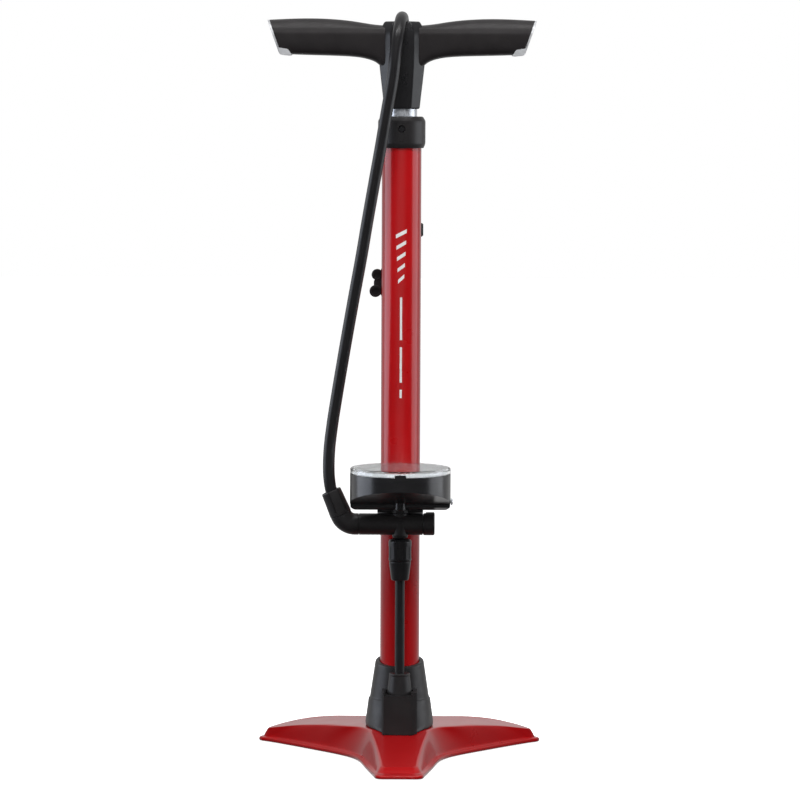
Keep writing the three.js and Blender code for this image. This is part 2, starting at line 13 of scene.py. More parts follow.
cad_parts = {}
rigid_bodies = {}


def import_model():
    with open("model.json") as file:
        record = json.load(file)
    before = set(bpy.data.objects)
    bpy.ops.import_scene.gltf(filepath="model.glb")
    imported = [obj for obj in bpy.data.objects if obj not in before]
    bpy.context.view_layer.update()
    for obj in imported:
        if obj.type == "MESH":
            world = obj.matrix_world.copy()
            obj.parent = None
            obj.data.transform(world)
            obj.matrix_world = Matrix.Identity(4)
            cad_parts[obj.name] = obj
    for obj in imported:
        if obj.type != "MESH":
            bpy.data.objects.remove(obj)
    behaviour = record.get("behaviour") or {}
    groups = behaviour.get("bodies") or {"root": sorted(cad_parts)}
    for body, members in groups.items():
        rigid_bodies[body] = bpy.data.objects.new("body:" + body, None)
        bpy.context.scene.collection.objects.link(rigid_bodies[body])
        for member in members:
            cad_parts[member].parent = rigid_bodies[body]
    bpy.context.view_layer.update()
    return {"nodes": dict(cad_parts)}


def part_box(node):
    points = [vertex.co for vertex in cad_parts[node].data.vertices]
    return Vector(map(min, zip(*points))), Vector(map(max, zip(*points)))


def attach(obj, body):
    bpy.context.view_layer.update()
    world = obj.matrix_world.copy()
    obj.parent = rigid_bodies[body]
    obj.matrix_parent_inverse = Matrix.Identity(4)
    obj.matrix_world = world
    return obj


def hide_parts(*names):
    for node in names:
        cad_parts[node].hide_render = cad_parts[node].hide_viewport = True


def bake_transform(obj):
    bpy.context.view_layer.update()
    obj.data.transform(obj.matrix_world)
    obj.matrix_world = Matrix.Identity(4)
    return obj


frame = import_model()
scene = bpy.context.scene

MM = 0.001
barrel_low, barrel_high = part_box("barrel_tube")
AXIS_Y = (barrel_low[1] + barrel_high[1]) / 2  # of the barrel, in the frame's metres
BARREL_FOOT = 34.6
FLOOR_Z = BARREL_FOOT - barrel_low[2] / MM

# ---- Sizes shared by several pieces ----

BARREL_R = (barrel_high[0] - barrel_low[0]) / 2 / MM
BARREL_BORE, BARREL_TOP = 15.4, 534
ROD_R, ROD_BORE = 12.8, 11.2
AIR_Y, AIR_Z, AIR_R = -29, 197.4, 9.1  # axis and radius of the valve body and the elbow
GAUGE_Y, GAUGE_R = -60, 42
HEAD_Y, PORT_Z = 30, 443.5  # the parked head's axis, and the height of its port
HOSE_R, SHORT_HOSE_R = 5, 4
LEAN = radians(23)  # of the elbow's upper end, away from upright

HOSE_ROUTE = [
    (-57.6, -29, 223.6), (-59, -29, 229.5), (-60.2, -29, 241), (-59.8, -29.2, 260), (-57.4, -30, 281),
    (-54.2, -31, 302), (-47.6, -33, 342), (-40.5, -35.5, 383), (-33.3, -38, 423), (-28.3, -39.8, 453),
    (-22.9, -41.5, 484), (-17.6, -42.4, 514), (-12.6, -42.7, 544), (-7.8, -42.4, 572), (-5.6, -40.4, 591),
    (-3.4, -33, 607.5), (-1.4, -18.5, 619.3), (0, 0, 623.2), (0.8, 18.5, 619.3), (1, 33, 607.5),
    (1, 40.4, 591), (1, 42.2, 572), (0.8, 40.6, 548), (0.4, 36.4, 522), (0.1, 32, 497),
    (0, 30.2, 482), (0, 30, 470.6),
]
HOSE_STEPS = 12  # points laid on the hose for each one in the route


# ---- Mesh helpers ----

SAME_POINT = 1e-6  # metres


def world(point):
    x, y, z = point
    return (x * MM, AXIS_Y + y * MM, (z - FLOOR_Z) * MM)


def make(name, points, faces, closed=True):
    mesh = bpy.data.meshes.new(name)
    mesh.from_pydata([world(p) for p in points], [], faces)
    bm = bmesh.new()
    bm.from_mesh(mesh)
    bmesh.ops.remove_doubles(bm, verts=bm.verts, dist=SAME_POINT)
    if closed:
        bmesh.ops.recalc_face_normals(bm, faces=bm.faces)
    bm.to_mesh(mesh)
    bm.free()
    obj = bpy.data.objects.new(name, mesh)
    scene.collection.objects.link(obj)
    return obj


def settle(obj):
    """Applies the object's modifiers to its mesh."""
    graph = bpy.context.evaluated_depsgraph_get()
    done = bpy.data.meshes.new_from_object(obj.evaluated_get(graph))
    obj.modifiers.clear()
    obj.data = done
    return obj


def combine(obj, operation, *others):
    for other in others:
        modifier = obj.modifiers.new("combine", "BOOLEAN")
        modifier.operation = operation
        modifier.solver = "EXACT"
        modifier.object = other
        settle(obj)
        bpy.data.objects.remove(other)
    return obj


def join(obj, *others):
    return combine(obj, "UNION", *others)


def cut(obj, *others):
    return combine(obj, "DIFFERENCE", *others)


def gather(obj, *others):
    """One piece out of several closed shells that run into one another."""
    bm = bmesh.new()
    for shell in (obj, *others):
        bm.from_mesh(shell.data)
    bm.to_mesh(obj.data)
    bm.free()
    for other in others:
        bpy.data.objects.remove(other)
    return obj


def bevel(obj, width, segments=3, angle=35):
    modifier = obj.modifiers.new("bevel", "BEVEL")
    modifier.width = width * MM
    modifier.segments = segments
    modifier.limit_method = "ANGLE"
    modifier.angle_limit = radians(angle)
    modifier.use_clamp_overlap = True
    modifier.miter_outer = "MITER_ARC"
    return settle(obj)


def shade(obj, angle=38, weighted=True):
    obj.data.shade_smooth()
    obj.data.set_sharp_from_angle(angle=radians(angle))
    if weighted:
        modifier = obj.modifiers.new("normals", "WEIGHTED_NORMAL")
        modifier.keep_sharp = True
    return obj


def loft(name, rings, loop=False, caps=True):
    count = len(rings[0])
    points = [p for ring in rings for p in ring]
    faces = []
    for i in range(len(rings) if loop else len(rings) - 1):
        a, b = i * count, (i + 1) % len(rings) * count
        faces += [(a + k, a + (k + 1) % count, b + (k + 1) % count, b + k) for k in range(count)]
    if caps and not loop:
        faces += [tuple(range(count)), tuple(range(len(points) - count, len(points)))]
    return make(name, points, faces)


def rounded(profile, radius, loop=False, steps=4):
    """A flat line with its corners turned into short curves. radius is one number, or one for each corner."""
    out = []
    for i, corner in enumerate(profile):
        size = radius[i] if isinstance(radius, (list, tuple)) else radius
        if size == 0 or (not loop and i in (0, len(profile) - 1)):
            out.append(tuple(corner))
            continue
        here = Vector(corner)
        back, ahead = Vector(profile[i - 1]) - here, Vector(profile[(i + 1) % len(profile)]) - here
        size = min(size, back.length / 2.05, ahead.length / 2.05)
        start, end = here + back.normalized() * size, here + ahead.normalized() * size
        for k in range(steps + 1):
            t = k / steps
            out.append(tuple(start.lerp(here, t).lerp(here.lerp(end, t), t)))
    return out


def lathe(name, profile, at=(0, 0, 0), axis="z", sides=72, loop=False):
    """A profile of (radius, height) turned about an axis through at."""
    rings = []
    for r, h in profile:
        ring = []
        for k in range(sides):
            u, v = r * cos(2 * pi * k / sides), r * sin(2 * pi * k / sides)
            x, y, z = {"z": (u, v, h), "x": (h, u, v), "y": (u, h, v)}[axis]
            ring.append((x + at[0], y + at[1], z + at[2]))
        rings.append(ring)
    return loft(name, rings, loop, caps=False)


def prism(name, outline, low, high, axis="z"):
    """A flat outline drawn out along an axis: (x, y) along z, (x, z) along y, (y, z) along x."""
    place = {"z": lambda u, v, h: (u, v, h), "y": lambda u, v, h: (u, h, v),
             "x": lambda u, v, h: (h, u, v)}[axis]
    return loft(name, [[place(u, v, h) for u, v in outline] for h in (low, high)])


def block(name, x, y, z):
    return prism(name, [(x[0], y[0]), (x[1], y[0]), (x[1], y[1]), (x[0], y[1])], z[0], z[1])


def turn_about(obj, angle, axis, centre):
    place = Vector(world(centre))
    spin = Matrix.Translation(place) @ Matrix.Rotation(angle, 4, axis) @ Matrix.Translation(-place)
    obj.data.transform(spin)
    return obj


def smooth_route(points, per, closed=False):
    """Centripetal Catmull-Rom through the points."""
    line = [Vector(p) for p in points]
    if closed:
        line = [line[-1], *line, line[0], line[1]]
    else:
        line = [2 * line[0] - line[1], *line, 2 * line[-1] - line[-2]]
    out = []
    for a, b, c, d in zip(line, line[1:], line[2:], line[3:]):
        t1 = (b - a).length ** 0.5
        t2 = t1 + (c - b).length ** 0.5
        t3 = t2 + (d - c).length ** 0.5
        for k in range(per):
            t = t1 + (t2 - t1) * k / per
            ab, bc = a.lerp(b, t / t1), b.lerp(c, (t - t1) / (t2 - t1))
            cd = c.lerp(d, (t - t2) / (t3 - t2))
            abc, bcd = ab.lerp(bc, t / t2), bc.lerp(cd, (t - t1) / (t3 - t1))
            out.append(abc.lerp(bcd, (t - t1) / (t2 - t1)))
    if not closed:
        out.append(line[-2])
    return out


def sweep(name, line, radius, sides=28):
    """A round section carried along a line without twist. radius is one number, or one for each point."""
    line = [Vector(p) for p in line]
    side = (line[1] - line[0]).orthogonal().normalized()
    rings = []
    for i, here in enumerate(line):
        ahead = (line[min(i + 1, len(line) - 1)] - line[max(i - 1, 0)]).normalized()
        side = (side - ahead * side.dot(ahead)).normalized()
        up = ahead.cross(side)
        r = radius[i] if isinstance(radius, list) else radius
        turns = [2 * pi * k / sides for k in range(sides)]
        rings.append([here + r * (cos(a) * side + sin(a) * up) for a in turns])
    return loft(name, rings)


# ---- Materials ----


def finish(name, colour, roughness, metallic=0.0, mottle=0.08, patch=0.02, vary=0.05, grain=0.0005, bump=0.1,
           stretch=(1, 1, 1), sockets=None):
    """A procedural finish: colour and roughness drift in patches, and a fine grain stands in the surface."""
    material = bpy.data.materials.new(name)
    material.use_nodes = True
    nodes, link = material.node_tree.nodes, material.node_tree.links.new
    shader = nodes["Principled BSDF"]
    shader.inputs["Metallic"].default_value = metallic
    for socket, value in (sockets or {}).items():
        shader.inputs[socket].default_value = value
    where = nodes.new("ShaderNodeTexCoord")
    mapping = nodes.new("ShaderNodeMapping")
    mapping.inputs["Scale"].default_value = stretch
    link(where.outputs["Object"], mapping.inputs["Vector"])

    def noise(size, detail):
        node = nodes.new("ShaderNodeTexNoise")
        node.inputs["Scale"].default_value = 1 / size
        node.inputs["Detail"].default_value = detail
        link(mapping.outputs["Vector"], node.inputs["Vector"])
        return node.outputs["Fac"]

    ramp = nodes.new("ShaderNodeValToRGB")
    ramp.color_ramp.elements[0].position = 0.3
    ramp.color_ramp.elements[1].position = 0.7
    ramp.color_ramp.elements[0].color = [c * (1 - mottle) for c in colour] + [1]
    ramp.color_ramp.elements[1].color = [min(1, c * (1 + mottle)) for c in colour] + [1]
    link(noise(patch, 4), ramp.inputs["Fac"])
    link(ramp.outputs["Color"], shader.inputs["Base Color"])

    spread = nodes.new("ShaderNodeMapRange")
    spread.inputs["From Min"].default_value = 0.3
    spread.inputs["From Max"].default_value = 0.7
    spread.inputs["To Min"].default_value = max(0.02, roughness - vary)
    spread.inputs["To Max"].default_value = roughness + vary
    link(noise(patch * 0.45, 5), spread.inputs["Value"])
    link(spread.outputs["Result"], shader.inputs["Roughness"])

    relief = nodes.new("ShaderNodeBump")
    relief.inputs["Strength"].default_value = bump
    relief.inputs["Distance"].default_value = grain * 0.25
    link(noise(grain, 2), relief.inputs["Height"])
    link(relief.outputs["Normal"], shader.inputs["Normal"])
    return material


RED = finish("red_enamel", (0.43, 0.0045, 0.0065), 0.3, mottle=0.05, patch=0.05, vary=0.03,
             grain=0.0016, bump=0.05, sockets={"Coat Weight": 0.8, "Coat Roughness": 0.12,
                                               "Coat IOR": 1.5, "Specular IOR Level": 0.25})
BLACK = finish("moulded_black", (0.019, 0.0178, 0.0185), 0.4, mottle=0.12, patch=0.014, vary=0.05,
               grain=0.00045, bump=0.2)
SATIN = finish("satin_black", (0.015, 0.0148, 0.016), 0.3, mottle=0.1, patch=0.02, vary=0.04,
               grain=0.0006, bump=0.08)
GRIP = finish("soft_grip", (0.019, 0.0168, 0.0175), 0.46, mottle=0.12, patch=0.012, vary=0.05,
              grain=0.0005, bump=0.3)
HOSE = finish("hose_rubber", (0.013, 0.0125, 0.0135), 0.33, mottle=0.12, patch=0.02, vary=0.05,
              grain=0.0007, bump=0.12)
RUBBER = finish("seal_rubber", (0.014, 0.014, 0.014), 0.7, mottle=0.15, patch=0.01, grain=0.0006, bump=0.3)
CHROME = finish("polished_steel", (0.8, 0.83, 0.88), 0.26, metallic=0.62, mottle=0.03, patch=0.01,
                vary=0.05, grain=0.0005, bump=0.04, stretch=(1, 1, 0.08))
STEEL = finish("turned_steel", (0.5, 0.51, 0.53), 0.3, metallic=1.0, patch=0.004, vary=0.07,
               grain=0.0003, bump=0.1)
ALLOY = finish("satin_aluminium", (0.68, 0.69, 0.71), 0.36, metallic=0.45, patch=0.006, vary=0.06,
               grain=0.0003, bump=0.12, stretch=(1, 0.15, 1))
BRASS = finish("brass", (0.55, 0.38, 0.14), 0.3, metallic=1.0, patch=0.005, vary=0.07, grain=0.0003, bump=0.1)
DIAL = finish("printed_dial", (0.74, 0.75, 0.77), 0.45, mottle=0.02, patch=0.01, grain=0.0003, bump=0.03)
INK = finish("dial_ink", (0.02, 0.02, 0.022), 0.5, mottle=0.1, patch=0.004, grain=0.0002, bump=0.03)
POINTER = finish("pointer_orange", (0.62, 0.09, 0.02), 0.4, mottle=0.06, patch=0.006, grain=0.0003, bump=0.05)
CASE = finish("gauge_black", (0.014, 0.0138, 0.015), 0.24, mottle=0.1, patch=0.02, vary=0.03,
              grain=0.0006, bump=0.05, sockets={"Specular IOR Level": 1.0})
NYLON = finish("bearing_white", (0.68, 0.68, 0.66), 0.5, mottle=0.04, patch=0.01, grain=0.0005, bump=0.1)
PRINT = finish("white_print", (0.78, 0.76, 0.76), 0.35, mottle=0.03, patch=0.01, vary=0.04,
               grain=0.0004, bump=0.05, sockets={"Coat Weight": 0.6, "Coat Roughness": 0.08})
CLEAR = finish("clear_lens", (0.97, 0.985, 0.99), 0.07, mottle=0.005, patch=0.02, vary=0.015,
               grain=0.003, bump=0.01, sockets={"Transmission Weight": 1.0, "IOR": 1.49})


def add(obj, body, material, slot, *nodes):
    """Finishes a piece and puts it on its body, standing for the CAD nodes named."""
    obj.data.materials.clear()
    obj.data.materials.append(material)
    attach(obj, body)
    if nodes:
        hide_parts(*nodes)
    return obj


# ---- Camera ----

LENS, SENSOR = 167.3, 36
CAMERA_DISTANCE, CAMERA_HEIGHT, CAMERA_ASIDE = 3.145, 0.546, -0.00055  # metres
LOOKING_DOWN, ROLL = 4.471, 0.24  # degrees
camera = bpy.data.objects.new("camera", bpy.data.cameras.new("camera"))
scene.collection.objects.link(camera)
camera.data.lens = LENS
camera.data.sensor_width = SENSOR
camera.data.clip_end = 100
camera.location = (CAMERA_ASIDE, AXIS_Y - CAMERA_DISTANCE, CAMERA_HEIGHT - FLOOR_Z * MM)
pitch, roll = radians(90 - LOOKING_DOWN), radians(ROLL)
camera.rotation_euler = (Matrix.Rotation(pitch, 3, "X") @ Matrix.Rotation(roll, 3, "Z")).to_euler()
scene.camera = camera
scene.view_settings.view_transform = "Standard"

# ---- The stored hose, one sweep along its route and put on no body; on the pump it stays with the stand below the barrel's top and rises with the handle above it ----

hose_line = smooth_route(HOSE_ROUTE, HOSE_STEPS)
hose = sweep("hose", hose_line, HOSE_R, 32)
shade(hose, 50, weighted=False)
hose.data.materials.append(HOSE)
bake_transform(hose)
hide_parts("main_hose")

# ---- Head of the hose ----

head = lathe("head_shell", rounded([
    (0, 420), (8, 420), (10, 423), (10, 447), (7.8, 450), (7.8, 467), (6.6, 470), (0, 470)], 1.2),
    (0, HEAD_Y, 0))
barb = lathe("barb", rounded([(0, 0), (6.6, 0), (6.6, 15.4), (0, 15.4)], 0.5), (0, HEAD_Y, PORT_Z), "x", 48)
lugs = [block("lug", (-15.3, -6), (y, y + 1.6), (438.5, 448.5)) for y in (22, 36.4)]
join(head, barb, *[bevel(lug, 0.5) for lug in lugs])
cut(head, lathe("socket", [(0, -2), (3.4, -2), (3.4, 5.6), (5.3, 5.6), (5.3, 17), (0, 17)],
                (0, HEAD_Y, PORT_Z), "x", 48))
for turn in range(6):  # three finger grooves on each side
    rib = block("rib", (9.5, 11), (HEAD_Y - 0.7, HEAD_Y + 0.7), (424, 434))
    cut(head, turn_about(rib, radians(-75 + turn * 10 + (100 if turn > 2 else 0)), "Z", (0, HEAD_Y, 0)))
add(shade(head), "stand", SATIN, "black_plastic", "head_body")
grommet = lathe("head_seal", rounded([(3.4, 6), (5, 6), (5, 15), (3.4, 15)], 0.4, loop=True),
                (0, HEAD_Y, PORT_Z), "x", 48, loop=True)
add(shade(grommet), "stand", RUBBER, "seal_rubber", "head_grommet")
nose = lathe("head_ring", rounded(
    [(3.4, 15.7), (5.9, 15.7), (5.9, 17.4), (4.9, 18.7), (3.4, 18.7)], 0.3, loop=True),
    (0, HEAD_Y, PORT_Z), "x", 48, loop=True)
for turn in range(12):
    notch = block("notch", (15, 19.5), (HEAD_Y + 5.5, HEAD_Y + 7), (PORT_Z - 0.5, PORT_Z + 0.5))
    cut(nose, turn_about(notch, turn * pi / 6, "X", (0, HEAD_Y, PORT_Z)))
add(shade(nose), "stand", BLACK, "black_plastic", "head_nut")
lever = prism("lever_arm", rounded([
    (-15.4, 413.2), (-12.2, 413.2), (-11, 416), (-11, 445.6), (-15.4, 445.6), (-15.4, 440)],
    [1.6, 1, 1, 2, 2, 0], loop=True), HEAD_Y - 6, HEAD_Y + 6, "y")
cut(lever, block("relief", (-12.6, -10), (HEAD_Y - 4, HEAD_Y + 4), (416, 436)),
    lathe("pin_hole", [(0, 20), (1.65, 20), (1.65, 40), (0, 40)], (-13, 0, PORT_Z), "y", 32))
for z in (418, 421, 424, 427):
    cut(lever, block("groove", (-16, -14.9), (HEAD_Y - 4.5, HEAD_Y + 4.5), (z, z + 1.1)))
add(shade(bevel(lever, 0.35, 2)), "lever", BLACK, "black_plastic", "head_lever")

# ---- Foot: rolled edge, wall, top edge, then the deck in to the barrel ----

FOOT = [  # rolled edge x, y; foot of the wall x, y; top edge x, y, z: right half, front to back
    (0, -127.5, 0, -119.6, 0, -112.3, 5.6), (9, -127.5, 8.5, -119.6, 8, -112.3, 5.6),
    (15.5, -127.4, 14, -119.5, 12.4, -112.1, 5.7), (19.3, -124.6, 17.4, -117.2, 14.3, -110.3, 6),
    (21.4, -114, 18.9, -111.5, 15, -106, 6.8), (24.2, -99.5, 20.6, -99, 15.8, -97, 8.6),
    (28.4, -77, 24, -76, 18.2, -76, 12.8), (33, -49.5, 28.6, -50, 21.4, -51, 17.9),
    (36.6, -36, 32, -36.5, 23.6, -37.5, 20.6), (43.5, -22, 38.8, -22, 26.6, -25.5, 21.9),
    (56.5, -5.5, 51.4, -4, 33, -14.5, 22), (75, 14.3, 70.2, 16.5, 46, -3, 21),
    (94.5, 34.7, 90.6, 37.5, 66, 18.3, 18.5), (114.3, 54.2, 110.2, 55.2, 86.5, 38.8, 14.9),
    (120.2, 59, 116, 59.3, 106.5, 53.6, 10.6), (122.2, 63, 118, 62.6, 113.5, 58.9, 9.1),
    (120.4, 68.4, 116.6, 67.2, 112.8, 63.2, 9.2), (106.5, 79.3, 104, 75.6, 101.4, 70.3, 11.7),
    (84, 78.8, 83.6, 74.8, 82, 69.2, 16.1), (60, 69.4, 61, 65.2, 60, 59.5, 19.8),
    (40, 59.3, 41, 55.6, 41, 49.6, 21.6), (20, 54.9, 20, 51.6, 20, 46.8, 21.9),
    (0, 54.6, 0, 51.2, 0, 46.4, 21.9),
]
FOOT_STEPS = 5  # points laid on each line for each row of the table
whole = FOOT + [(-a, b, -c, d, -e, f, g) for a, b, c, d, e, f, g in FOOT[-2:0:-1]]
rolled = smooth_route([(p[0], p[1], 0) for p in whole], FOOT_STEPS, closed=True)
wall = smooth_route([(p[2], p[3], 0) for p in whole], FOOT_STEPS, closed=True)
crest = smooth_route([p[4:] for p in whole], FOOT_STEPS, closed=True)
WING_TOP = [(0, 22.4), (34, 22.2), (46, 21.2), (60, 19.7), (86, 15.1), (100, 12), (113, 9.2), (135, 7.5)]
TOE_START, TOE_FALL = -28, 0.2  # where the deck begins to fall towards the toe, and its slope there
SHEET = 1.8


def deck_height(x, y):
    """Height of the foot's top: level at the barrel, falling along the wings and down the toe."""
    x = abs(x)
    falling = next(h0 + (h1 - h0) * (x - x0) / (x1 - x0)
                   for (x0, h0), (x1, h1) in zip(WING_TOP, WING_TOP[1:]) if x <= x1)
    return min(falling, WING_TOP[0][1] + min(0, y - TOE_START) * TOE_FALL)


def inwards(line, distance):
    """The closed line moved towards its inside, with its tight corners eased."""
    out = []
    for i, here in enumerate(line):
        ahead = line[(i + 2) % len(line)] - line[i - 2]
        out.append(here + distance * Vector((-ahead.y, ahead.x, 0)).normalized())
    for _ in range(int(distance)):
        out = [(out[i - 1] + 2 * p + out[(i + 1) % len(out)]) / 4 for i, p in enumerate(out)]
    return out


def mixed(a, b, t, z=None):
    line = [p.lerp(q, t) for p, q in zip(a, b)]
    return line if z is None else [Vector((p.x, p.y, z)) for p in line]


WALL_FOOT = 4.5  # height of the wall's foot above the floor
INNER_R = 21  # the deck's inner edge, hidden in the boot


def climbing(t, rise):
    """Ring up the wall: t along it in plan, rise as part of its height."""
    foot_z = FLOOR_Z + WALL_FOOT
    return [Vector((*p.lerp(q, t).xy, foot_z + (q.z - foot_z) * rise)) for p, q in zip(wall, crest)]


rings = [mixed(rolled, wall, t, FLOOR_Z + z) for t, z in (
    (0.1, 1.0), (0, 1.5), (-0.02, 2.6), (0.06, 3.7), (0.25, 4.3), (0.8, 4.35))]
rings += [climbing(*step) for step in ((0.02, 0.06), (0.12, 0.2), (0.4, 0.5), (0.72, 0.8), (0.9, 0.94))]
rings.append([Vector((p.x, p.y, p.z - 0.1)) for p in crest])
rings.append([Vector((p.x, p.y, p.z + 0.05)) for p in inwards(crest, 1.2)])
rings.append([Vector((p.x, p.y, deck_height(p.x, p.y))) for p in inwards(crest, 2)])
last = rings[-1]
for t in (0.08, 0.2, 0.35, 0.5, 0.65, 0.8, 0.9, 1):
    ring = []
    for p in last:
        x, y = p.xy.lerp(INNER_R * p.xy.normalized(), t)
        ring.append(Vector((x, y, deck_height(x, y))))
    rings.append(ring)
count = len(rings[0])
faces = [(i * count + k, i * count + (k + 1) % count,
          (i + 1) * count + (k + 1) % count, (i + 1) * count + k)
         for i in range(len(rings) - 1) for k in range(count)]
foot = make("foot_shell", [p for ring in rings for p in ring], faces, closed=False)
smoother = foot.modifiers.new("smoother", "SUBSURF")
smoother.levels = smoother.render_levels = 1
thicker = foot.modifiers.new("sheet", "SOLIDIFY")
thicker.thickness = SHEET * MM
thicker.offset = -1
settle(foot)
add(shade(foot, 60, weighted=False), "stand", RED, "red_paint", "base_plate")

PADS = {
    "pad_left": [(-94, 50), (-106, 58.5), (-112, 63), (-104, 71), (-92, 70)],
    "pad_right": [(94, 50), (106, 58.5), (112, 63), (104, 71), (92, 70)],
    "pad_front": [(-13.5, -119), (13.5, -119), (18, -99), (-18, -99)],
}
for name, outline in PADS.items():
    pad = bevel(prism(name, rounded(outline, 3, loop=True), FLOOR_Z, FLOOR_Z + 4), 0.6, 2)
    add(shade(pad), "stand", RUBBER, "seal_rubber", "foot_" + name)

# ---- Boot over the barrel's foot, with its front box and the collar for the short hose ----

BOOT_LOW, BOOT_WAIST, BOOT_TOP = 22.8, 46.8, 80.3
BOOT_BORE, BOOT_SIDES = 17.2, 96
RIM_Z, RIM_SLOPE = 77.64, 0.1614  # the rim's height on the axis, and how it rises towards the back
FLARE_TOP = BOOT_WAIST - 4  # below here the front runs out along the toe
ABOVE_DECK = 0.4


def boot_top(y):
    return min(BOOT_TOP, RIM_Z + RIM_SLOPE * y)


boot_profile = rounded([
    (BOOT_BORE, BOOT_LOW), (28.5, BOOT_LOW), (29, 25), (28.2, 31), (27.3, 37.7), (26.3, 45.3),
    (25.1, BOOT_WAIST), (20.7, 78.9), (20.2, BOOT_TOP), (BOOT_BORE, BOOT_TOP)],
    [0, 0.6, 2, 0, 0, 0.8, 0.9, 0.7, 0.7, 0.3], loop=True)
rings = []
for r, height in boot_profile:
    ring = []
    for k in range(BOOT_SIDES):
        turn = 2 * pi * k / BOOT_SIDES
        x, y, z = r * cos(turn), r * sin(turn), height
        above = max(0, z - BOOT_WAIST) / (BOOT_TOP - BOOT_WAIST)
        flare = max(0, (FLARE_TOP - z) / (FLARE_TOP - BOOT_LOW)) if r > 20 else 0
        if y < 0 < flare:
            y *= 1 + 0.5 * flare ** 1.5
            z += flare * (deck_height(x, y) + ABOVE_DECK - BOOT_LOW)
        ring.append((x, y, z if above == 0 else BOOT_WAIST + above * (boot_top(y) - BOOT_WAIST)))
    rings.append(ring)
boot = loft("foot_boot", rings, loop=True)
plan = [(-13.4, -42), (10, -42.6), (14.8, -39.5), (14.8, -18), (-14.8, -18), (-14.8, -40.5)]
box = loft("box", [[(x, y, deck_height(x, y) + ABOVE_DECK) for x, y in plan],
                   [(x, y, 56) for x, y in plan]])
cut(box, block("sill", (-12.6, 9.8), (-60, AIR_Y), (53, 62)),
    lathe("clear", [(0, 53), (11.3, 53), (12.2, 60), (0, 60)], (0, AIR_Y, 0), sides=48))
bevel(box, 0.7)
collar = lathe("collar", rounded([
    (0, 40), (10.8, 40), (10.5, 54), (8.8, 69), (9.1, 69.8), (8.4, 71), (4.4, 71), (4.4, 60), (0, 60)],
    [0, 0, 0.5, 0.5, 0.4, 0.7, 0.5, 0, 0]), (0, AIR_Y, 0))
gather(boot, box, collar)
add(shade(boot, 40), "stand", BLACK, "black_plastic", "base_boot")

# ---- Barrel, its printed marks, its cap and the rod ----

barrel = lathe("barrel", [(BARREL_BORE, BARREL_FOOT), (BARREL_R, BARREL_FOOT), (BARREL_R, BARREL_TOP),
                          (BARREL_BORE, BARREL_TOP)], sides=128, loop=True)
add(shade(barrel), "stand", RED, "red_paint", "barrel_tube")


def on_barrel(name, lower, upper, lift=0.06):
    """A thin patch printed on the front of the barrel, between two edges given along the curve and up."""
    count = len(lower)
    points = [(r * sin(u / BARREL_R), -r * cos(u / BARREL_R), z)
              for r in (BARREL_R - 0.05, BARREL_R + lift) for edge in (lower, upper) for u, z in edge]
    faces = [(3 * count, 2 * count, 0, count), (count - 1, 3 * count - 1, 4 * count - 1, 2 * count - 1)]
    for k in range(count - 1):
        for a, b in ((0, count), (count, 3 * count), (3 * count, 2 * count), (2 * count, 0)):
            faces.append((a + k, a + k + 1, b + k + 1, b + k))
    return make(name, points, faces)


marks = []
for i in range(5):
    z, half = 440 - 9.5 * i, 4.6 - 0.5 * i
    slant = [(-half + 2 * half * k / 8, z - 2.4 + 4.8 * k / 8) for k in range(9)]
    marks.append(on_barrel("mark", slant, [(u, v + 3.2) for u, v in slant]))
for low, high in ((352, 388), (316, 346), (303, 310)):
    across = [(-0.9 + 1.8 * k / 3, low) for k in range(4)]
    marks.append(on_barrel("mark", across, [(u, high) for u, _ in across]))
printed = marks[0]
whole_mesh = bmesh.new()
for mark in marks:
    whole_mesh.from_mesh(mark.data)
whole_mesh.to_mesh(printed.data)
whole_mesh.free()
for mark in marks[1:]:
    bpy.data.objects.remove(mark)
printed.name = "barrel_print"
add(shade(printed), "stand", PRINT, "bearing_white")

SCREW_Z = 529.6
cap = lathe("barrel_cap", rounded([
    (16.9, 513.4), (18.4, 513.4), (20, 517.2), (20, 536.3), (17.8, 540), (13.1, 540), (13.1, 537.6),
    (BARREL_BORE, 537.6), (BARREL_BORE, 534.3), (16.9, 534.3)],
    [0.2, 0.5, 1.2, 0.9, 1.1, 0.5, 0, 0, 0, 0], loop=True), sides=112, loop=True)
cut(cap, lathe("screw_seat", [(0, -25), (3.1, -25), (3.1, -18), (0, -18)], (0, 0, SCREW_Z), "y", 40))
mark = block("mark", (-2.4, 2.4), (-20.4, -19), (519.4, 520.3))
join(cap, bevel(mark, 0.2, 2))
add(shade(cap), "stand", BLACK, "black_plastic", "top_cap")
screw = lathe("cap_screw_head", rounded(
    [(0, -19.5), (2.1, -19.4), (2.7, -18.9), (2.7, -17.9), (1.6, -17.9), (1.6, -15.6), (0, -15.6)],
    [0, 0.5, 0.4, 0.1, 0, 0, 0]), (0, 0, SCREW_Z), "y", 40)
for angle in (20, 110):
    slot_cut = block("slot", (-1.5, 1.5), (-21, -18.7), (SCREW_Z - 0.32, SCREW_Z + 0.32))
    cut(screw, turn_about(slot_cut, radians(angle), "Y", (0, 0, SCREW_Z)))
add(shade(screw), "stand", STEEL, "steel", "cap_screw")

ROD_LOW, ROD_TOP = 64, 572
rod = lathe("rod", rounded([(ROD_BORE, ROD_LOW), (ROD_R, ROD_LOW), (ROD_R, ROD_TOP), (ROD_BORE, ROD_TOP)],
                           0.4, loop=True), sides=112, loop=True)
add(shade(rod), "plunger", CHROME, "polished_steel", "piston_rod")

# ---- Handle: eight-sided hub, grips and end caps ----

HUB_STATIONS = [  # half width, height
    (14.9, 546.3), (16.3, 559), (17.6, 570), (18.9, 582), (19.5, 596), (19.6, 605), (19.1, 610),
    (17.6, 614.6), (14.6, 619.6)]
HUB_FLAT = 0.5  # half width of the hub's front face, as a part of the hub's half width


